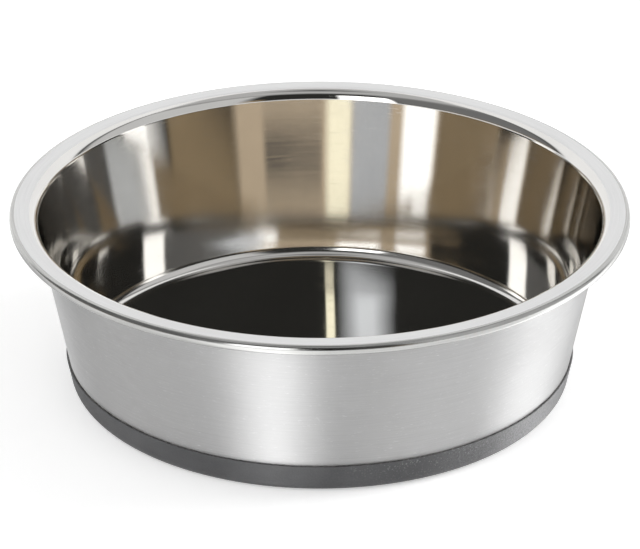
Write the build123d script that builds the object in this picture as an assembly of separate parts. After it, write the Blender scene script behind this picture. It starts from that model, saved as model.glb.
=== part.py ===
"""Stainless dog bowl with a bonded rubber base.

A drawn sheet-steel bowl with a tapered wall, a flat flange and a curled rim stands in a moulded
rubber base ring, and a film of adhesive holds the two together. Every piece is turned from one
profile about the Z axis. The origin is the centre of the footprint, on the ground.
"""

import os
from math import acos, cos, degrees, radians, tan

from build123d import *

# Overall sizes, in millimetres and degrees
RIM_DIAMETER = 254.0  # over the curled rim
HEIGHT = 77.0  # ground to the top of the flange
MOUTH_DIAMETER = 232.2  # where the line of the inner wall meets the flange's top
WALL_DRAFT = 10.9  # the wall's lean from the vertical, wider at the top

# Steel bowl
SHEET = 0.9  # thickness of the drawn sheet
CORNER_RADIUS = 5.0  # inside, from the floor to the wall
MOUTH_RADIUS = 5.4  # on top, from the wall to the flange
CURL_RADIUS = 2.1  # outside of the curled rim
CURL_GAP = 1.4  # left between the rolled-in edge of the sheet and the flange's underside

# Adhesive film
FILM = 0.15
SEAT_GAP = 0.2  # clearance on each side of the film

# Rubber base ring
SOLE = 1.9  # thickness under the floor
SOLE_WIDTH = 20.0  # width of the ring under the floor, in from its outer corner
SKIRT_HEIGHT = 13.0  # ground to the rubber's top edge
SKIRT = 0.45  # thickness on the wall
TOE_RADIUS = 5.6  # outer bottom edge
LIP_RADIUS = 0.2  # outer top edge
HEEL_RADIUS = 0.8  # inner bottom edge

# Places that follow from the sizes
DRAFT_RUN = tan(radians(WALL_DRAFT))
DRAFT_COS = cos(radians(WALL_DRAFT))
FLOOR_UNDERSIDE = SOLE + SEAT_GAP + FILM + SEAT_GAP
FLOOR_TOP = FLOOR_UNDERSIDE + SHEET
FILM_INSIDE = SHEET + SEAT_GAP
FILM_OUTSIDE = FILM_INSIDE + FILM
RUBBER_INSIDE = FILM_OUTSIDE + SEAT_GAP
RUBBER_OUTSIDE = RUBBER_INSIDE + SKIRT
CURL_CENTRE = (RIM_DIAMETER / 2 - CURL_RADIUS, HEIGHT - CURL_RADIUS)


def wall_radius(height, outward):
    """Radius at a height of the line that lies outward of the inner wall, square to it."""
    inner = MOUTH_DIAMETER / 2 - (HEIGHT - height) * DRAFT_RUN
    return inner + outward / DRAFT_COS


SOLE_INNER_RADIUS = wall_radius(0, RUBBER_OUTSIDE) - SOLE_WIDTH


def bowl_skin(level_floor, level_flange, outward, corner, mouth):
    """One face of the sheet: floor, corner, wall, mouth and flange, out to the start of the curl."""
    return FilletPolyline(
        (0, level_floor),
        (wall_radius(level_floor, outward), level_floor),
        (wall_radius(level_flange, outward), level_flange),
        (CURL_CENTRE[0], level_flange),
        radius=[corner, mouth],
    )


def seat_skin(outward):
    """The bowl's outside where the base ring covers it, moved outward: skirt, corner and underside."""
    sheet_gap = outward - SHEET
    level = FLOOR_UNDERSIDE - sheet_gap
    return FilletPolyline(
        (wall_radius(SKIRT_HEIGHT, outward), SKIRT_HEIGHT),
        (wall_radius(level, outward), level),
        (SOLE_INNER_RADIUS, level),
        radius=[CORNER_RADIUS + outward],
    )


def turned(*curves):
    """The solid that a closed outline of curves, drawn in radius and height, makes about the Z axis."""
    outline = make_face([edge for curve in curves for edge in curve.edges()])
    return revolve(Plane.XZ * outline, axis=Axis.Z)


def steel_bowl():
    """Drawn bowl: one sheet that runs from the floor to the curled edge of the rim."""
    inside = bowl_skin(FLOOR_TOP, HEIGHT, 0, CORNER_RADIUS, MOUTH_RADIUS)
    outside = bowl_skin(
        FLOOR_UNDERSIDE, HEIGHT - SHEET, SHEET, CORNER_RADIUS + SHEET, MOUTH_RADIUS - SHEET
    )
    edge_height = CURL_RADIUS - SHEET - CURL_GAP
    turn = degrees(acos(edge_height / CURL_RADIUS)) - 360
    curl_outer = CenterArc(CURL_CENTRE, CURL_RADIUS, 90, turn)
    curl_inner = CenterArc(CURL_CENTRE, CURL_RADIUS - SHEET, 90, turn)
    sheet_edge = Line(curl_outer @ 1, curl_inner @ 1)
    centre = Line(outside @ 0, inside @ 0)
    return turned(inside, curl_outer, sheet_edge, curl_inner, outside, centre)


def adhesive_film():
    """Film between the bowl and the base ring, over the whole of the ring's seat."""
    on_steel = seat_skin(FILM_INSIDE)
    on_rubber = seat_skin(FILM_OUTSIDE)
    top_edge = Line(on_steel @ 0, on_rubber @ 0)
    inner_edge = Line(on_steel @ 1, on_rubber @ 1)
    return turned(on_steel, inner_edge, on_rubber, top_edge)


def rubber_base():
    """Moulded ring that laps up the wall, wraps the corner and carries the bowl on its flat sole."""
    seat = seat_skin(RUBBER_INSIDE)
    outside = FilletPolyline(
        seat @ 0,
        (wall_radius(SKIRT_HEIGHT, RUBBER_OUTSIDE), SKIRT_HEIGHT),
        (wall_radius(0, RUBBER_OUTSIDE), 0),
        (SOLE_INNER_RADIUS, 0),
        seat @ 1,
        radius=[LIP_RADIUS, TOE_RADIUS, HEEL_RADIUS],
    )
    return turned(seat, outside)


def main():
    os.makedirs("parts", exist_ok=True)
    for make in (steel_bowl, adhesive_film, rubber_base):
        export_step(make(), f"parts/{make.__name__}.step")


main()
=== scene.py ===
from math import acos, atan2, cos, pi, radians, sin, tan

import bpy
import numpy as np
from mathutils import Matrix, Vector, noise


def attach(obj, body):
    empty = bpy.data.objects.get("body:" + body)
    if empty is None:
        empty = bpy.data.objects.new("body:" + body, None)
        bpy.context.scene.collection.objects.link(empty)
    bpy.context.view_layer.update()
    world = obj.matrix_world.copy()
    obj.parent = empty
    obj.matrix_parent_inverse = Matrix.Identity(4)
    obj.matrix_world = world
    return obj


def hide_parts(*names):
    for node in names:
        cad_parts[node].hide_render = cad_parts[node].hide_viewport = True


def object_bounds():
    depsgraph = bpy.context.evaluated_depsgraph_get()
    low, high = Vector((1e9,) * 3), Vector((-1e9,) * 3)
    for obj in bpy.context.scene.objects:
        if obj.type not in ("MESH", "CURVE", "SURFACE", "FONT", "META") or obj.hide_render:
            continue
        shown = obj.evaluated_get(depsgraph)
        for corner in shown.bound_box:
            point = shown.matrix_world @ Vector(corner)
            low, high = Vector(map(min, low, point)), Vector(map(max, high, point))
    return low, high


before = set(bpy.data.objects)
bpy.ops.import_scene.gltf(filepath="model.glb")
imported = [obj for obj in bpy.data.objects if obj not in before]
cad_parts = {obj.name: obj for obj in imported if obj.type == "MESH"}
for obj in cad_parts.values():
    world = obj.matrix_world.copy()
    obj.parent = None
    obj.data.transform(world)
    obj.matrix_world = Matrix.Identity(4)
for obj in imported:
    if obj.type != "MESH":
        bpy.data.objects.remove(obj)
cad_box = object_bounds()

# The bowl's sizes, in metres, the same as the solids have
MM = 0.001
RIM_RADIUS = cad_box[1][0]
HEIGHT = cad_box[1][2]
MOUTH_RADIUS = 116.1 * MM
DRAFT = radians(10.9)
SHEET = 0.9 * MM
CORNER_BEND = 5.0 * MM
MOUTH_BEND = 5.4 * MM
CURL_BEND = 2.1 * MM
CURL_GAP = 1.4 * MM
FILM = 0.15 * MM
SEAT_GAP = 0.2 * MM
SOLE = 1.9 * MM
SOLE_WIDTH = 20.0 * MM
SKIRT_HEIGHT = 13.0 * MM
SKIRT = 0.45 * MM
TOE_BEND = 5.6 * MM
LIP_BEND = 0.2 * MM
HEEL_BEND = 0.8 * MM
FLOOR_UNDERSIDE = SOLE + SEAT_GAP + FILM + SEAT_GAP
FLOOR_TOP = FLOOR_UNDERSIDE + SHEET
SEAT_WIDTH = SEAT_GAP + FILM + SEAT_GAP
RUBBER_INSIDE = SHEET + SEAT_WIDTH
RUBBER_OUTSIDE = RUBBER_INSIDE + SKIRT

# How finely the meshes are turned
BOWL_SEGMENTS = 480
BASE_SEGMENTS = 840
RUN_STEPS = 4
BEND_STEPS = 20
CURL_STEPS = 36
SAME = 1e-9  # places and normals closer than this are one

# Finishing of the steel and the rubber
SATIN_TURN = 0.25  # share of the mouth bend that carries the flange's satin finish
LIP_RAGGED = 0.3 * MM  # how uneven the rubber's top edge is
LIP_DEPTH = 0.6 * MM  # how far down from the edge that reaches
RAGGED_PITCH = 1.6 * MM  # from one notch to the next, about
PAINTED_SHEEN_SIDE = (40 * MM, 95 * MM)  # across the bowl, where the rubber's painted sheen on its lit side begins and is full
SPECK_SIDE = (0 * MM, 60 * MM)  # the same for its pale specks

# Tones of the finishes, dark and light
MIRROR_TONES = (0.69, 0.68, 0.66), (0.75, 0.74, 0.72)
FLOOR_TONES = (0.68, 0.67, 0.65), (0.74, 0.73, 0.71)
SATIN_TONES = (0.74, 0.74, 0.74), (0.81, 0.81, 0.81)
CURL_TONES = (0.44, 0.44, 0.43), (0.54, 0.54, 0.53)
BRUSHED_TONES = (0.54, 0.54, 0.54), (0.78, 0.78, 0.78)
PRESSED_TONES = (0.5, 0.5, 0.49), (0.62, 0.62, 0.61)
RUBBER_TONES = (0.055, 0.056, 0.059), (0.25, 0.25, 0.255)
ADHESIVE_TONES = (0.03, 0.03, 0.032), (0.22, 0.215, 0.21)

# Roughness of the finishes, from and to
MIRROR_ROUGH = (0.05, 0.085)
SCRATCH_ROUGH = (0.0, 0.1)  # added in a scratch
CORNER_ROUGH = (0.1, 0.16)
FLOOR_ROUGH = (0.045, 0.085)
SATIN_ROUGH = (0.46, 0.56)
CURL_ROUGH = (0.14, 0.24)
BRUSHED_ROUGH = (0.46, 0.56)
CLOUD_ROUGH = (-0.04, 0.04)  # added in a smudge on the brushed wall
PRESSED_ROUGH = (0.34, 0.48)
RUBBER_ROUGH = (0.42, 0.6)
ADHESIVE_ROUGH = (0.5, 0.3)

# Relief of the finishes
MIRROR_RELIEF = 0.0006 * MM
SCRATCH_SHARE = 24.0  # relief of a scratch beside that of the wheel
FLOOR_WAVE = 1.7 * MM
SATIN_RELIEF = 0.003 * MM
BRUSHED_RELIEF = 0.9 * MM
STROKE_SHARE = 0.012  # relief of the strokes beside that of the dents
PRESSED_RELIEF = 0.006 * MM
RUBBER_RELIEF = 0.12 * MM
ADHESIVE_RELIEF = 0.1 * MM

# Parts of the range of a noise, which runs from 0 to 1 round a half
MIDDLE = (0.3, 0.7)  # where most of its values lie
PEAKS = (0.7, 0.75)  # only here and there
WHEEL_STROKES = (0.3, 0.75)  # more of them fine than rough
BLEND = (0.35, 0.65)  # the mean of two noises, which stays nearer a half
WORN = (0.6, 1.1)  # the polishing strokes and the haze together
HANDLED = (0.35, 0.7)
FLECKS = (0.69, 0.75)
SPECKS = (0.66, 0.73)
LUMPS = (0.35, 0.75)
HAZE_SHARE = 0.6  # haze beside the wheel's strokes in the wear of the polish

# How far each mark moves a tone from dark to light, at least and at most
STROKE_TONE = (0.0, 0.5)
# the flecks are scratches, made lighter in colour as painted glints
FLECK_GLINT_TONE = (0.0, 0.7)
CLOUD_TONE = (0.0, 0.14)
GRAIN_TONE = (0.0, 0.12)
SPECK_TONE = (0.0, 1.0)
# the painted sheen lightens the rubber towards its lit side
PAINTED_SHEEN_TONE = (0.0, 0.85)
PAINTED_SHEEN_GAIN = (0.3, 1.4)  # multiplies the painted sheen, along the grain
SIDE_GAIN = (0.0, 1.0)  # multiplies the specks, across the bowl
LIP_GAIN = (0.4, 1.6)  # multiplies the specks, up to the lip


def wall_radius(height, outward):
    """Radius at a height of the line that lies outward of the inner wall, square to it."""
    return MOUTH_RADIUS - (HEIGHT - height) * tan(DRAFT) + outward / cos(DRAFT)


SOLE_INNER_RADIUS = wall_radius(0, RUBBER_OUTSIDE) - SOLE_WIDTH


def unit(vector):
    return vector / np.linalg.norm(vector)


def straight(start, end):
    """Points along a line, each with the normal on the left of travel."""
    normal = unit(np.array([start[1] - end[1], end[0] - start[0]]))
    return [(start + (end - start) * k / RUN_STEPS, normal) for k in range(RUN_STEPS + 1)]


def arc(centre, radius, start, sweep, steps=BEND_STEPS):
    """Points along an arc, each with the normal on the left of travel."""
    side = -1 if sweep > 0 else 1
    spokes = [np.array([cos(a), sin(a)]) for a in np.linspace(start, start + sweep, steps + 1)]
    return [(centre + radius * spoke, side * spoke) for spoke in spokes]


def rounded(corners, bends):
    """Straight runs through the corners, with an arc of the given bend at each one between the ends."""
    corners = [np.array(corner, float) for corner in corners]
    pieces = []
    start = corners[0]
    for before, here, after, bend in zip(corners, corners[1:], corners[2:], bends):
        back, ahead = unit(before - here), unit(after - here)
        half = acos(np.dot(back, ahead)) / 2
        enter, leave = here + back * bend / tan(half), here + ahead * bend / tan(half)
        centre = here + unit(back + ahead) * bend / sin(half)
        angle = atan2(*(enter - centre)[::-1])
        sweep = (atan2(*(leave - centre)[::-1]) - angle + pi) % (2 * pi) - pi
        pieces += [straight(start, enter), arc(centre, bend, angle, sweep)]
        start = leave
    return pieces + [straight(start, corners[-1])]


def differ(first, second):
    return np.abs(first - second).max() > SAME


def without_repeats(points):
    """The points of a stretch, with a place that comes twice with one normal kept once."""
    kept = points[:1]
    for point, normal in points[1:]:
        if differ(point, kept[-1][0]) or differ(normal, kept[-1][1]):
            kept.append((point, normal))
    return kept


def lathe(name, stretches, segments):
    """A mesh turned about the Z axis from stretches of (points with normals, material index)."""
    profile, edges = [], []
    for points, material in stretches:
        first = len(profile)
        profile += without_repeats(points)
        pairs = range(first, len(profile) - 1)
        edges += [(k, material) for k in pairs if differ(profile[k][0], profile[k + 1][0])]
    sizes = [segments if differ(point[0], 0) else 1 for point, _ in profile]
    starts = np.cumsum([0] + sizes)
    around = np.arange(segments)
    angles = 2 * pi * around / segments
    spokes = np.stack([np.cos(angles), np.sin(angles)], -1)

    def ring(radius, height, size):
        return np.column_stack([radius * spokes, np.full(segments, height)])[:size]

    def corners(k, turn):
        return starts[k] + (around + turn) % sizes[k]

    def band(k):
        """Faces between two rings, which are triangles where one of the rings is a point on the axis."""
        sides = [corners(k, 0), corners(k + 1, 0), corners(k + 1, 1), corners(k, 1)]
        if sizes[k + 1] == 1:
            del sides[2]
        elif sizes[k] == 1:
            del sides[3]
        return np.stack(sides, -1).tolist()

    verts = np.concatenate([ring(*point, size) for (point, _), size in zip(profile, sizes)])
    normals = np.concatenate([ring(*normal, size) for (_, normal), size in zip(profile, sizes)])
    faces = [face for k, _ in edges for face in band(k)]
    mesh = bpy.data.meshes.new(name)
    mesh.from_pydata(verts.tolist(), [], faces)
    mesh.polygons.foreach_set("material_index", np.repeat([m for _, m in edges], segments))
    mesh.polygons.foreach_set("use_smooth", np.ones(len(faces), bool))
    mesh.normals_split_custom_set_from_vertices(normals.tolist())
    piece = bpy.data.objects.new(name, mesh)
    bpy.context.scene.collection.objects.link(piece)
    return piece


def dress(piece, node, finishes):
    """Puts a piece in the place of its CAD node and gives it its materials."""
    for finish in finishes:
        piece.data.materials.append(finish)
    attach(piece, "root")
    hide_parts(node)


class Finish:
    """A node material: one Principled shader, with its constants on its own sockets."""

    def __init__(self, name, constants):
        self.material = bpy.data.materials.new(name)
        self.material.use_nodes = True
        self.tree = self.material.node_tree
        self.shader = self.tree.nodes["Principled BSDF"]
        for socket, value in constants.items():
            self.shader.inputs[socket].default_value = value

    def node(self, kind, **settings):
        node = self.tree.nodes.new("ShaderNode" + kind)
        for key, value in settings.items():
            setattr(node, key, value)
        return node

    def feed(self, socket, source):
        """Links an output to a socket, or sets the socket to a number."""
        if isinstance(source, bpy.types.NodeSocket):
            self.tree.links.new(source, socket)
        else:
            socket.default_value = source

    def math(self, operation, first, second=0.0):
        node = self.node("Math", operation=operation)
        self.feed(node.inputs[0], first)
        self.feed(node.inputs[1], second)
        return node.outputs[0]

    def mean(self, first, second):
        return self.math("ADD", self.math("MULTIPLY", first, 0.5), self.math("MULTIPLY", second, 0.5))

    def place(self):
        return self.node("TexCoord").outputs["Object"]

    def strokes(self, length, width):
        """Coordinates that draw a texture out round the axis, into strokes of a length and a width."""
        apart = self.node("SeparateXYZ")
        self.feed(apart.inputs[0], self.place())
        x, y, z = apart.outputs
        squares = self.math("ADD", self.math("MULTIPLY", x, x), self.math("MULTIPLY", y, y))
        radius = self.math("SQRT", squares)
        joined = self.node("CombineXYZ")
        self.feed(joined.inputs[0], self.math("DIVIDE", x, length))
        self.feed(joined.inputs[1], self.math("DIVIDE", y, length))
        self.feed(joined.inputs[2], self.math("DIVIDE", self.math("ADD", radius, z), width))
        return joined.outputs[0]

    def noise(self, vector, scale=1.0, detail=2.0):
        node = self.node("TexNoise")
        self.feed(node.inputs["Vector"], vector)
        node.inputs["Scale"].default_value = scale
        node.inputs["Detail"].default_value = detail
        return node.outputs["Fac"]

    def spread(self, value, source, target):
        """Moves a value from one range to another and keeps it inside."""
        node = self.node("MapRange")
        self.feed(node.inputs["Value"], value)
        for socket, number in zip(node.inputs[1:5], (*source, *target)):
            socket.default_value = number
        return node.outputs[0]

    def colour(self, value, tones, source=(0.0, 1.0)):
        """Base colour that runs from one tone to another as a value does."""
        node = self.node("ValToRGB")
        for element, position, tone in zip(node.color_ramp.elements, source, tones):
            element.position = position
            element.color = (*tone, 1)
        self.feed(node.inputs[0], value)
        self.feed(self.shader.inputs["Base Color"], node.outputs["Color"])

    def rough(self, value):
        self.feed(self.shader.inputs["Roughness"], value)

    def bump(self, height, depth):
        node = self.node("Bump")
        node.inputs["Distance"].default_value = depth
        self.feed(node.inputs["Height"], height)
        self.feed(self.shader.inputs["Normal"], node.outputs["Normal"])

    def turned_grain(self):
        """Turns the stretch of the highlights across the strokes."""
        node = self.node("Tangent", direction_type="RADIAL", axis="Z")
        self.feed(self.shader.inputs["Tangent"], node.outputs[0])


METAL = {"Metallic": 1.0}


def polished_wall():
    """Mirror polish, with faint strokes of the polishing wheel and a few fine scratches."""
    finish = Finish("polished_wall", {**METAL, "Anisotropic": 0.8, "Anisotropic Rotation": 0.25})
    finish.turned_grain()
    wheel = finish.noise(finish.strokes(length=30 * MM, width=0.5 * MM), detail=3.0)
    scratch = finish.noise(finish.strokes(length=9 * MM, width=0.22 * MM), detail=1.0)
    haze = finish.noise(finish.place(), scale=28.0)
    worn = finish.math("ADD", wheel, finish.math("MULTIPLY", haze, HAZE_SHARE))
    fine = finish.spread(worn, WORN, MIRROR_ROUGH)
    marks = finish.spread(scratch, PEAKS, SCRATCH_ROUGH)
    finish.rough(finish.math("ADD", fine, marks))
    finish.colour(haze, MIRROR_TONES, MIDDLE)
    finish.bump(finish.math("ADD", wheel, finish.math("MULTIPLY", marks, SCRATCH_SHARE)), MIRROR_RELIEF)
    return finish.material


def polished_corner():
    """Polish in the bend round the floor, a little duller because the wheel reaches it badly."""
    finish = Finish("polished_corner", METAL)
    wheel = finish.noise(finish.strokes(length=30 * MM, width=0.6 * MM), detail=3.0)
    finish.rough(finish.spread(wheel, WHEEL_STROKES, CORNER_ROUGH))
    finish.colour(wheel, FLOOR_TONES, MIDDLE)
    return finish.material


def polished_floor():
    """Mirror polish on a floor that the press left slightly wavy."""
    finish = Finish("polished_floor", METAL)
    wheel = finish.noise(finish.strokes(length=30 * MM, width=0.6 * MM), detail=3.0)
    wave = finish.noise(finish.place(), scale=15.0, detail=0.0)
    finish.rough(finish.spread(wheel, WHEEL_STROKES, FLOOR_ROUGH))
    finish.colour(wave, FLOOR_TONES, MIDDLE)
    finish.bump(wave, FLOOR_WAVE)
    return finish.material


def satin_flange():
    """Satin finish, with fine strokes round the rim and soft smudges."""
    finish = Finish("satin_flange", METAL)
    fine = finish.noise(finish.strokes(length=25 * MM, width=0.4 * MM), detail=3.0)
    smudge = finish.noise(finish.place(), scale=35.0, detail=3.0)
    finish.rough(finish.spread(smudge, MIDDLE, SATIN_ROUGH))
    finish.colour(finish.mean(fine, smudge), SATIN_TONES, BLEND)
    finish.bump(fine, SATIN_RELIEF)
    return finish.material


def rolled_curl():
    """Buffed rim, a little duller where it has been handled."""
    finish = Finish("rolled_curl", METAL)
    fine = finish.noise(finish.strokes(length=20 * MM, width=0.3 * MM), detail=2.0)
    worn = finish.noise(finish.place(), scale=60.0, detail=3.0)
    finish.rough(finish.spread(worn, HANDLED, CURL_ROUGH))
    finish.colour(fine, CURL_TONES, MIDDLE)
    return finish.material


def brushed_wall():
    """Brushed round the bowl: highlights spread up and down, with strokes, scratch flecks lightened as
    painted glints, and cloudy smudges.
    """
    finish = Finish("brushed_wall", {**METAL, "Anisotropic": 0.95, "Anisotropic Rotation": 0.25})
    finish.turned_grain()
    fine = finish.noise(finish.strokes(length=22 * MM, width=0.45 * MM), detail=3.0)
    fleck = finish.noise(finish.strokes(length=2.2 * MM, width=0.35 * MM), detail=1.0)
    smudge = finish.noise(finish.place(), scale=45.0, detail=3.0)
    dent = finish.noise(finish.place(), scale=20.0, detail=1.0)
    grain = finish.spread(fine, MIDDLE, BRUSHED_ROUGH)
    cloud = finish.spread(smudge, MIDDLE, CLOUD_ROUGH)
    finish.rough(finish.math("ADD", grain, cloud))
    # painted glints: the scratch flecks are made lighter in colour
    fleck_glint = finish.spread(fleck, FLECKS, FLECK_GLINT_TONE)
    tone = finish.spread(finish.mean(fine, smudge), BLEND, STROKE_TONE)
    finish.colour(finish.math("ADD", tone, fleck_glint), BRUSHED_TONES)
    strokes = finish.math("MULTIPLY", fine, STROKE_SHARE)
    finish.bump(finish.math("ADD", dent, strokes), BRUSHED_RELIEF)
    return finish.material


def pressed_underside():
    """As the press left it: dull, with rings from the tool."""
    finish = Finish("pressed_underside", METAL)
    ring = finish.noise(finish.strokes(length=60 * MM, width=0.8 * MM), detail=3.0)
    stain = finish.noise(finish.place(), scale=22.0, detail=4.0)
    finish.rough(finish.spread(stain, MIDDLE, PRESSED_ROUGH))
    finish.colour(ring, PRESSED_TONES, MIDDLE)
    finish.bump(ring, PRESSED_RELIEF)
    return finish.material


def moulded_rubber():
    """Charcoal rubber, grainy and matt, with pale specks and a painted sheen that lightens its lit side,
    broken up by the grain.
    """
    finish = Finish("moulded_rubber", {"Specular IOR Level": 0.5})
    grain = finish.noise(finish.place(), scale=1400.0, detail=2.0)
    speck = finish.noise(finish.place(), scale=1500.0, detail=0.0)
    cloud = finish.noise(finish.place(), scale=70.0, detail=3.0)
    apart = finish.node("SeparateXYZ")
    finish.feed(apart.inputs[0], finish.place())
    across, _, height = apart.outputs
    # painted sheen: lighter towards the lit side of the bowl, broken up by the grain
    painted_sheen_side = finish.spread(across, PAINTED_SHEEN_SIDE, PAINTED_SHEEN_TONE)
    painted_sheen = finish.math("MULTIPLY", painted_sheen_side, finish.spread(grain, MIDDLE, PAINTED_SHEEN_GAIN))
    near_lip = finish.spread(height, (SKIRT_HEIGHT / 2, SKIRT_HEIGHT), LIP_GAIN)
    settled = finish.math("MULTIPLY", finish.spread(across, SPECK_SIDE, SIDE_GAIN), near_lip)
    specks = finish.math("MULTIPLY", settled, finish.spread(speck, SPECKS, SPECK_TONE))
    shade = finish.math("ADD", finish.spread(cloud, MIDDLE, CLOUD_TONE), painted_sheen)
    shade = finish.math("ADD", shade, finish.spread(grain, MIDDLE, GRAIN_TONE))
    finish.colour(finish.math("ADD", shade, specks), RUBBER_TONES)
    finish.rough(finish.spread(grain, MIDDLE, RUBBER_ROUGH))
    finish.bump(grain, RUBBER_RELIEF)
    return finish.material


def cured_adhesive():
    """Dark bond line, lumpy and a little shiny where it was squeezed out."""
    finish = Finish("cured_adhesive", {})
    lump = finish.noise(finish.place(), scale=800.0, detail=2.0)
    finish.colour(lump, ADHESIVE_TONES, LUMPS)
    finish.rough(finish.spread(lump, MIDDLE, ADHESIVE_ROUGH))
    finish.bump(lump, ADHESIVE_RELIEF)
    return finish.material


def steel_bowl():
    """The drawn bowl, from the middle of its floor round the rim and back under it."""
    curl = np.array([RIM_RADIUS - CURL_BEND, HEIGHT - CURL_BEND])
    floor_in, corner_in, wall_in, mouth_in, flange = rounded(
        [
            (0, FLOOR_TOP),
            (wall_radius(FLOOR_TOP, 0), FLOOR_TOP),
            (wall_radius(HEIGHT, 0), HEIGHT),
            (curl[0], HEIGHT),
        ],
        [CORNER_BEND, MOUTH_BEND],
    )
    flange_under, mouth_out, wall_out, corner_out, floor_out = rounded(
        [
            (curl[0], HEIGHT - SHEET),
            (wall_radius(HEIGHT - SHEET, SHEET), HEIGHT - SHEET),
            (wall_radius(FLOOR_UNDERSIDE, SHEET), FLOOR_UNDERSIDE),
            (0, FLOOR_UNDERSIDE),
        ],
        [MOUTH_BEND - SHEET, CORNER_BEND + SHEET],
    )
    turn = acos((CURL_BEND - SHEET - CURL_GAP) / CURL_BEND) - 2 * pi
    curl_out = arc(curl, CURL_BEND, pi / 2, turn, CURL_STEPS)
    curl_in = arc(curl, CURL_BEND - SHEET, pi / 2 + turn, -turn, CURL_STEPS)
    sheet_edge = straight(curl_out[-1][0], curl_in[0][0])
    polish_end = round(BEND_STEPS * (1 - SATIN_TURN))
    wall, corner, floor, satin, roll, brushed, pressed = range(7)
    piece = lathe(
        "bowl",
        [
            (floor_in, floor),
            (corner_in, corner),
            (wall_in + mouth_in[: polish_end + 1], wall),
            (mouth_in[polish_end:] + flange, satin),
            (curl_out + sheet_edge + curl_in, roll),
            (flange_under + mouth_out + wall_out, brushed),
            (corner_out + floor_out, pressed),
        ],
        BOWL_SEGMENTS,
    )
    finishes = [polished_wall, polished_corner, polished_floor, satin_flange, rolled_curl]
    finishes += [brushed_wall, pressed_underside]
    dress(piece, "steel_bowl", [finish() for finish in finishes])


def seat(outward):
    """Corners of the bowl's outside where the base covers it, moved outward, from the top inwards."""
    level = FLOOR_UNDERSIDE - (outward - SHEET)
    return [
        (wall_radius(SKIRT_HEIGHT, outward), SKIRT_HEIGHT),
        (wall_radius(level, outward), level),
        (SOLE_INNER_RADIUS, level),
    ]


def make_ragged(piece, seed):
    """Makes the top edge of a turned piece uneven, a little lower here and there."""
    for vertex in piece.data.vertices:
        share = (vertex.co.z - (SKIRT_HEIGHT - LIP_DEPTH)) / LIP_DEPTH
        if share > 0:
            spot = Vector((vertex.co.x, vertex.co.y, seed)) / RAGGED_PITCH
            vertex.co.z -= share * LIP_RAGGED * (0.5 + 0.5 * noise.noise(spot))


def rubber_base():
    """The moulded ring round the foot."""
    inner = rounded(seat(RUBBER_INSIDE), [CORNER_BEND + RUBBER_INSIDE])
    outer = rounded(
        [
            seat(RUBBER_INSIDE)[-1],
            (SOLE_INNER_RADIUS, 0),
            (wall_radius(0, RUBBER_OUTSIDE), 0),
            (wall_radius(SKIRT_HEIGHT, RUBBER_OUTSIDE), SKIRT_HEIGHT),
            seat(RUBBER_INSIDE)[0],
        ],
        [HEEL_BEND, TOE_BEND, LIP_BEND],
    )
    path = [point for run in inner + outer for point in run]
    outline = [(point, -normal) for point, normal in path[::-1]]
    piece = lathe("base_ring", [(outline, 0)], BASE_SEGMENTS)
    make_ragged(piece, seed=1.0)
    dress(piece, "rubber_base", [moulded_rubber()])


def adhesive_film():
    """The bond between the steel and the rubber, squeezed out to both."""
    on_rubber = rounded(seat(RUBBER_INSIDE), [CORNER_BEND + RUBBER_INSIDE])
    on_steel = rounded(seat(SHEET), [CORNER_BEND + SHEET])
    outward = [point for run in on_rubber for point in run]
    inward = [(point, -normal) for run in on_steel for point, normal in run][::-1]
    edges = straight(outward[-1][0], inward[0][0]), straight(inward[-1][0], outward[0][0])
    outline = outward + edges[0] + inward + edges[1]
    piece = lathe("bond", [(outline, 0)], BASE_SEGMENTS)
    make_ragged(piece, seed=2.0)
    dress(piece, "adhesive_film", [cured_adhesive()])


# Studio: cards that only reflections see stand round the bowl on a dome
DOME_HEIGHT = 0.04
CARD_STEPS = 24
TOP_LAYER = 2.4  # radii of the dome's layers, where the inner ones hide the outer ones
BACK_LAYER = 2.3
PANEL_LAYER = 2.2
SIDE_LAYER = 2.1
MAIN_LAYER = 2.0
FRONT_LAYER = 1.9
NEAR_LAYER = 0.63
ROW_DROOP = 0.00045, 0  # shows as a level row in the wall behind
FLOOR_DROOP = 0.001, 180  # shows as a level row in the floor
SIDE_DROOP = 0.00075, 0  # shows as a level row at the sides, in the third reflection
GLEAM_FOOT = 104 * MM  # radius at which the light on the floor begins
GLEAM_REACH = 1.2
GLEAM_LIFT = 0.5 * MM
MIRROR_BOUNCES = 12
CLEAR_CARDS = 24
FIRST = "COMPARE", 1  # in the first reflection only
SECOND = "COMPARE", 2  # in the second reflection only
LATER = "GREATER_THAN", 1.5  # from the second reflection on
THIRD = "GREATER_THAN", 2.5  # from the third reflection on
ONLY_THIRD = "COMPARE", 3  # in the third reflection only
DARK = (0.03, 0.03, 0.028)
SLATE = (0.07, 0.075, 0.08)
BROWN = (0.41, 0.31, 0.19)
BEIGE = (0.92, 0.75, 0.55)
BLUISH = (0.9, 0.94, 1.0)
WHITE = (1.0, 1.0, 1.0)
PALE = (0.9, 0.9, 0.9)
CREAM = (1.0, 0.95, 0.74)


def card(
    name,
    azimuths,
    elevations,
    colour,
    strength=1.0,
    radius=MAIN_LAYER,
    soft=(0, 0),
    seen=None,
    droop=(0, 0),
):
    """A patch of the dome between two azimuths and two elevations, in degrees.

    Azimuth 0 is behind the bowl, and 90 is on its right in the photograph. The patch fades out
    over soft degrees at its sides. With droop, it bends down to both sides of an azimuth.
    """
    across, up = grid(azimuths, elevations)
    fade = np.minimum(inset(across, azimuths, soft[0]), inset(up, elevations, soft[1]))
    up = up - droop[0] * (across - droop[1]) ** 2
    across, up = np.radians(across), np.radians(up)
    spots = np.stack([np.cos(up) * np.sin(across), np.cos(up) * np.cos(across), np.sin(up)], -1)
    sheet(name, radius * spots + (0, 0, DOME_HEIGHT), fade, glowing(name, colour, strength, seen))


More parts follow.
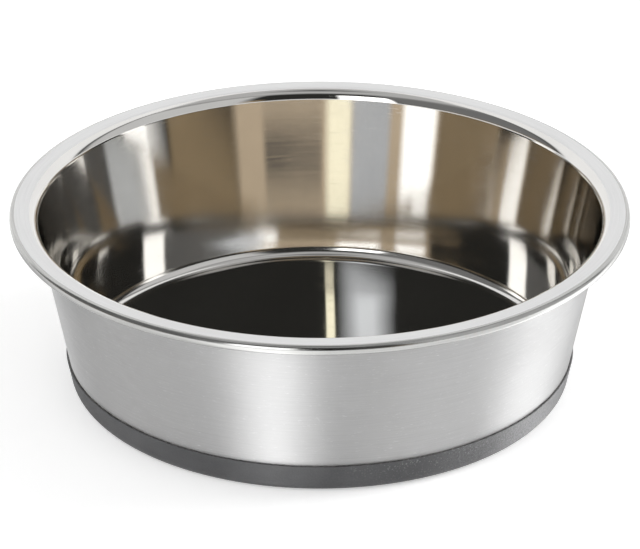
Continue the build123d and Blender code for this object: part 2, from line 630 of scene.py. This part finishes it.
def gleam(name, bearings, strength, soft, viewed=0):
    """Light on the floor that the outer wall mirrors between two bearings, counted from its viewer."""
    bearing, reach = grid(bearings, (0, GLEAM_REACH))
    fade = np.minimum(inset(bearing, bearings, soft), 1 - reach / GLEAM_REACH)
    foot, away = np.radians(viewed + bearing), np.radians(viewed + 2 * bearing)
    x = GLEAM_FOOT * np.sin(foot) + reach * np.sin(away)
    y = -GLEAM_FOOT * np.cos(foot) - reach * np.cos(away)
    spots = np.stack([x, y, np.full(len(x), GLEAM_LIFT)], -1)
    sheet(name, spots, fade, glowing(name, WHITE, strength, FIRST))


def grid(across, along):
    """Evenly spaced values of two ranges, one pair for each spot of a sheet."""
    columns, rows = np.meshgrid(np.linspace(*across, CARD_STEPS), np.linspace(*along, CARD_STEPS))
    return columns.ravel(), rows.ravel()


def sheet(name, spots, fade, material):
    """A stage piece through a grid of spots, which only reflections see."""
    corner = (np.arange(CARD_STEPS - 1)[:, None] * CARD_STEPS + np.arange(CARD_STEPS - 1)).ravel()
    faces = np.stack([corner, corner + 1, corner + CARD_STEPS + 1, corner + CARD_STEPS], -1)
    mesh = bpy.data.meshes.new(name)
    mesh.from_pydata(spots.tolist(), [], faces.tolist())
    mesh.attributes.new("fade", "FLOAT", "POINT").data.foreach_set("value", fade)
    mesh.materials.append(material)
    piece = bpy.data.objects.new(name, mesh)
    piece.visible_camera = False
    piece.visible_diffuse = False
    piece.visible_shadow = False
    piece.visible_transmission = False
    bpy.context.scene.collection.objects.link(piece)


def inset(places, ends, soft):
    """How far places lie inside both ends, as a share of the soft edge, up to one."""
    if not soft:
        return np.ones(len(places))
    return np.clip(np.minimum(places - ends[0], ends[1] - places) / soft, 0, 1)


def glowing(name, colour, strength, seen):
    """Plain light, clear where the card fades out and to the reflections that don't see it."""
    material = bpy.data.materials.new(name)
    material.use_nodes = True
    tree = material.node_tree
    tree.nodes.clear()
    glow = tree.nodes.new("ShaderNodeEmission")
    glow.inputs["Color"].default_value = (*colour, 1)
    glow.inputs["Strength"].default_value = strength
    clear = tree.nodes.new("ShaderNodeBsdfTransparent")
    fade = tree.nodes.new("ShaderNodeAttribute")
    fade.attribute_name = "fade"
    share = fade.outputs["Fac"]
    if seen:
        path = tree.nodes.new("ShaderNodeLightPath")
        bounce = tree.nodes.new("ShaderNodeMath")
        bounce.operation, bounce.inputs[1].default_value = seen
        tree.links.new(path.outputs["Ray Depth"], bounce.inputs[0])
        both = tree.nodes.new("ShaderNodeMath")
        both.operation = "MULTIPLY"
        tree.links.new(share, both.inputs[0])
        tree.links.new(bounce.outputs[0], both.inputs[1])
        share = both.outputs[0]
    mix = tree.nodes.new("ShaderNodeMixShader")
    tree.links.new(share, mix.inputs["Fac"])
    tree.links.new(clear.outputs[0], mix.inputs[1])
    tree.links.new(glow.outputs[0], mix.inputs[2])
    out = tree.nodes.new("ShaderNodeOutputMaterial")
    tree.links.new(mix.outputs[0], out.inputs["Surface"])
    return material


def overhead_cards():
    """Dark overhead, a little lighter straight above and pale high at the back and sides."""
    card("overhead", (-180, 180), (8, 90), DARK, radius=TOP_LAYER)
    card("zenith", (-180, 180), (77, 90), BEIGE, 0.25, BACK_LAYER, (0, 4), LATER)
    card("pale_high", (-112, 112), (58, 80), PALE, 0.6, PANEL_LAYER, (14, 6), SECOND)


def outer_cards():
    """Pale sides and top for the flange, the curl and the outer wall."""
    card("pale_back", (-66, 64), (0.5, 68), PALE, 1.2, FRONT_LAYER, (6, 4), FIRST)
    card("pale_right", (64, 152), (4, 62), PALE, 0.75, SIDE_LAYER, (8, 6), FIRST)
    card("pale_left", (-152, -64), (8, 62), PALE, 0.22, SIDE_LAYER, (8, 6), FIRST)
    card("pale_top", (-180, 180), (54, 90), PALE, 0.6, MAIN_LAYER, (0, 12), FIRST)


def inner_cards():
    """Broad warm, dark and white cards for the polished inside."""
    card("warm_back", (-74, 104), (8, 28.5), BEIGE, 0.9, BACK_LAYER, (6, 0.8), LATER)
    card("warm_high", (-135, 140), (28, 82), BROWN, 1.15, BACK_LAYER, (8, 2), THIRD)
    card("brown_left", (-131, -68), (8, 19), BROWN, 1.0, PANEL_LAYER, (6, 1))
    card("brown_right", (97, 158), (8, 23), BROWN, 0.85, PANEL_LAYER, (6, 1))
    card("slate_back", (-50, 4), (19.8, 24.2), SLATE, 1.0, NEAR_LAYER, (5, 0.7), SECOND, ROW_DROOP)
    card("white_left", (-61, -36), (25.6, 51), WHITE, 2.4, MAIN_LAYER, (6, 1), ONLY_THIRD)
    card("blue_left", (-112, -48), (26.5, 32), BLUISH, 1.4, MAIN_LAYER, (8, 1), ONLY_THIRD, SIDE_DROOP)
    card("pale_far_left", (-165, -60), (12, 36), PALE, 0.22, PANEL_LAYER, (12, 4), THIRD)
    card("blue_right", (24, 60), (8, 24.5), BLUISH, 0.85, MAIN_LAYER, (5, 1), LATER)
    card("white_right", (66, 99), (8, 27), WHITE, 2.6, MAIN_LAYER, (6, 1), LATER)
    card("white_back", (12, 57), (23.6, 26.6), WHITE, 3.2, MAIN_LAYER, (8, 0.6), THIRD)
    card("white_front", (187, 213), (2, 44), WHITE, 2.6, MAIN_LAYER, (3, 4))
    card("cream_back", (3, 29), (16, 24.5), CREAM, 1.9, MAIN_LAYER, (6, 1.5), LATER)
    card("white_far_left", (-172, -129), (8, 15), WHITE, 1.3, MAIN_LAYER, (16, 1), LATER)
    card("cream_front", (183.8, 190.0), (54.1, 76), CREAM, 1.9, NEAR_LAYER, (0.8, 0.5), SECOND, FLOOR_DROOP)
    card("blue_front", (191, 229), (52.5, 72), BLUISH, 1.35, NEAR_LAYER, (15, 3), SECOND, FLOOR_DROOP)


def floor_gleams():
    """Upright highlights in the outer wall, in front and behind."""
    gleam("gleam_right", (37.5, 66), 2.6, 10.5)
    gleam("gleam_edge", (64, 90), 0.5, 8)
    gleam("gleam_front", (-22, 2), 2.25, 11)
    gleam("gleam_left", (-85, -48), 0.65, 15)
    gleam("gleam_back", (-22, 2), 2.0, 11, viewed=155)
    gleam("gleam_behind", (-6, 18), 2.0, 11, viewed=215)


FLOOR_SIZE = 12.0
FLOOR_PAINT = (0.8, 0.8, 0.8, 1)
FLOOR_GLOW = 0.45
FILL_LEVEL = 0.6
SEEN_LEVEL = 1.0
BACKGROUND_RAYS = "Is Camera Ray", "Is Glossy Ray", "Is Transmission Ray"


def background_rays(tree):
    """One where a ray that shows the background looks at the surface."""
    path = tree.nodes.new("ShaderNodeLightPath")
    total = path.outputs[BACKGROUND_RAYS[0]]
    for kind in BACKGROUND_RAYS[1:]:
        larger = tree.nodes.new("ShaderNodeMath")
        larger.operation = "MAXIMUM"
        tree.links.new(total, larger.inputs[0])
        tree.links.new(path.outputs[kind], larger.inputs[1])
        total = larger.outputs[0]
    return total


def pale_floor():
    """A white floor that keeps the bowl's shadow."""
    bpy.ops.mesh.primitive_plane_add(size=FLOOR_SIZE)
    ground = bpy.context.object
    ground.name = "ground"
    material = bpy.data.materials.new("ground")
    material.use_nodes = True
    tree = material.node_tree
    tree.nodes.clear()
    paint = tree.nodes.new("ShaderNodeBsdfDiffuse")
    paint.inputs["Color"].default_value = FLOOR_PAINT
    glow = tree.nodes.new("ShaderNodeEmission")
    level = tree.nodes.new("ShaderNodeMath")
    level.operation = "MULTIPLY"
    level.inputs[1].default_value = FLOOR_GLOW
    tree.links.new(background_rays(tree), level.inputs[0])
    tree.links.new(level.outputs[0], glow.inputs["Strength"])
    both = tree.nodes.new("ShaderNodeAddShader")
    tree.links.new(paint.outputs[0], both.inputs[0])
    tree.links.new(glow.outputs[0], both.inputs[1])
    out = tree.nodes.new("ShaderNodeOutputMaterial")
    tree.links.new(both.outputs[0], out.inputs["Surface"])
    ground.data.materials.append(material)


def white_world():
    """White where it is seen or mirrored, and a plain fill elsewhere."""
    world = bpy.data.worlds.new("studio")
    bpy.context.scene.world = world
    world.use_nodes = True
    tree = world.node_tree
    tree.nodes.clear()
    mix = tree.nodes.new("ShaderNodeMixShader")
    tree.links.new(background_rays(tree), mix.inputs["Fac"])
    for socket, strength in zip(mix.inputs[1:], (FILL_LEVEL, SEEN_LEVEL)):
        back = tree.nodes.new("ShaderNodeBackground")
        back.inputs["Color"].default_value = (1, 1, 1, 1)
        back.inputs["Strength"].default_value = strength
        tree.links.new(back.outputs[0], socket)
    out = tree.nodes.new("ShaderNodeOutputWorld")
    tree.links.new(mix.outputs[0], out.inputs["Surface"])


LAMP_SIZE = 0.9
KEY_PLACE = (1.6, 0.35, 0.6)
KEY_WATTS = 22
FILL_PLACE = (-0.9, -1.1, 1.4)
FILL_WATTS = 8


def lamp(name, place, watts):
    """A soft round lamp that points at the bowl."""
    light = bpy.data.lights.new(name, "AREA")
    light.shape = "DISK"
    light.size = LAMP_SIZE
    light.energy = watts
    holder = bpy.data.objects.new(name, light)
    holder.location = place
    holder.rotation_euler = (-Vector(place)).to_track_quat("-Z", "Y").to_euler()
    holder.visible_glossy = False
    bpy.context.scene.collection.objects.link(holder)


# Camera at the photograph's viewing angle, with the photograph's frame in pixels
FRAME_WIDTH = 640
FRAME_HEIGHT = 549
FOCAL_LENGTH = 3500.0  # in pixels
CENTRE_X = 319.82
CENTRE_Y = 287.93
SENSOR_WIDTH = 36.0  # in millimetres
CAMERA_RISE = radians(26.76)
CAMERA_DISTANCE = 1.4512
CAMERA_AIM = 0.0381
CAMERA_FAR = 50.0


def photo_camera():
    """The camera, aimed at the bowl's axis and shifted to the photograph's frame."""
    lens = bpy.data.cameras.new("camera")
    lens.sensor_width = SENSOR_WIDTH
    lens.lens = FOCAL_LENGTH * SENSOR_WIDTH / FRAME_WIDTH
    lens.clip_end = CAMERA_FAR
    lens.shift_x = (FRAME_WIDTH / 2 - CENTRE_X) / FRAME_WIDTH
    lens.shift_y = (CENTRE_Y - FRAME_HEIGHT / 2) / FRAME_WIDTH
    camera = bpy.data.objects.new("camera", lens)
    back = CAMERA_DISTANCE * cos(CAMERA_RISE)
    up = CAMERA_AIM + CAMERA_DISTANCE * sin(CAMERA_RISE)
    camera.location = (0, -back, up)
    camera.rotation_euler = (pi / 2 - CAMERA_RISE, 0, 0)
    bpy.context.scene.collection.objects.link(camera)
    bpy.context.scene.camera = camera


steel_bowl()
rubber_base()
adhesive_film()
overhead_cards()
outer_cards()
inner_cards()
floor_gleams()
pale_floor()
white_world()
lamp("key", KEY_PLACE, KEY_WATTS)
lamp("fill", FILL_PLACE, FILL_WATTS)
photo_camera()
bpy.context.scene.view_settings.view_transform = "Standard"
bpy.context.scene.cycles.max_bounces = MIRROR_BOUNCES
bpy.context.scene.cycles.glossy_bounces = MIRROR_BOUNCES
bpy.context.scene.cycles.transparent_max_bounces = CLEAR_CARDS
